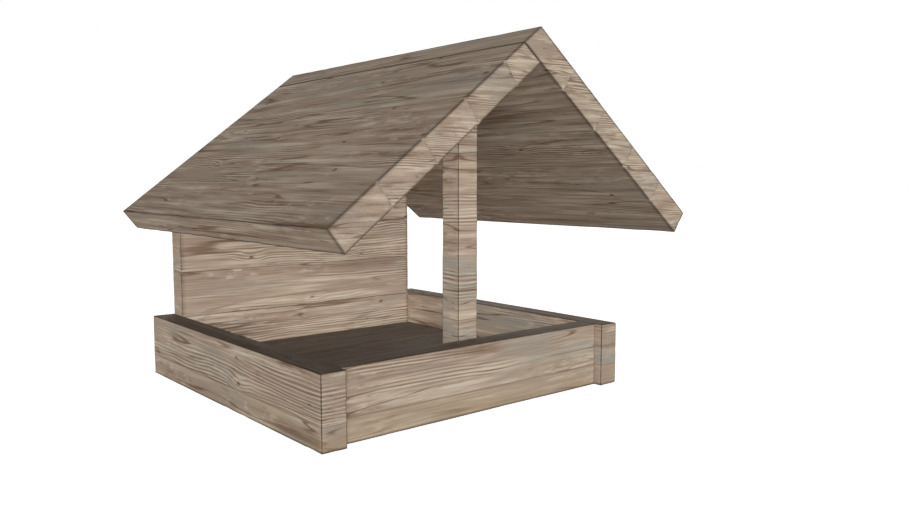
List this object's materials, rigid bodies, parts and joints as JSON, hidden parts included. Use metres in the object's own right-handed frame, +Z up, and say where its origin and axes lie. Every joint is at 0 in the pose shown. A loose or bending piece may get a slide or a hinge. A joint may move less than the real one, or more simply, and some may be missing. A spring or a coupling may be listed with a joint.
{
  "type": "sandbox with cover",
  "caption": "Square timber sandbox tray with a plank floor, a gable back wall, a front post and a pitched plank roof as its fixed cover.",
  "frame": {"origin": "middle of the overall footprint (roof edges), at ground level", "axes": "+Z up; the open front with the post faces -Y and the gable wall stands at +Y; +X is to the right as seen from the front"},
  "size_m": [1.7376, 1.75, 1.4262],
  "materials": {
    "timber": "weathered, rough sawn, unpainted",
    "roof_timber": "weathered, rough sawn, darker",
    "floor_timber": "weathered, dark, dull",
    "bearer_timber": "rough sawn, dull",
    "zinc_plate": "galvanised, matt",
    "zinc_fastener": "zinc plated, satin"
  },
  "bodies": {
    "root": {"side_timber_left": "timber", "side_timber_right": "timber", "front_timber": "timber", "post": "timber", "wall_plank_1": "timber", "wall_plank_2": "timber", "wall_plank_3": "timber", "wall_plank_4": "timber", "wall_plank_5": "timber", "wall_plank_6": "timber", "tray_dowels": "timber", "roof_left_plank_1": "roof_timber", "roof_left_plank_2": "roof_timber", "roof_left_plank_3": "roof_timber", "roof_left_plank_4": "roof_timber", "roof_left_plank_5": "roof_timber", "roof_right_plank_1": "roof_timber", "roof_right_plank_2": "roof_timber", "roof_right_plank_3": "roof_timber", "roof_right_plank_4": "roof_timber", "roof_right_plank_5": "roof_timber", "roof_rod_plugs": "roof_timber", "floor_plank_1": "floor_timber", "floor_plank_2": "floor_timber", "floor_plank_3": "floor_timber", "floor_plank_4": "floor_timber", "floor_plank_5": "floor_timber", "floor_plank_6": "floor_timber", "bearer_left": "bearer_timber", "bearer_centre": "bearer_timber", "bearer_right": "bearer_timber", "corner_bracket_front_left": "zinc_plate", "corner_bracket_front_right": "zinc_plate", "corner_bracket_back_left": "zinc_plate", "corner_bracket_back_right": "zinc_plate", "ridge_hanger": "zinc_plate", "roof_cleat_left": "zinc_plate", "roof_cleat_right": "zinc_plate", "bracket_screws": "zinc_fastener", "floor_screws": "zinc_fastener", "wall_tie_rods": "zinc_fastener", "wall_rod_washers": "zinc_fastener", "wall_rod_nuts": "zinc_fastener", "roof_tie_rods": "zinc_fastener", "roof_barrel_nuts": "zinc_fastener", "roof_rod_washers": "zinc_fastener", "roof_rod_nuts": "zinc_fastener", "ridge_screws": "zinc_fastener", "post_screws": "zinc_fastener", "hanger_screws": "zinc_fastener", "cleat_screws": "zinc_fastener"}
  },
  "joints": []
}
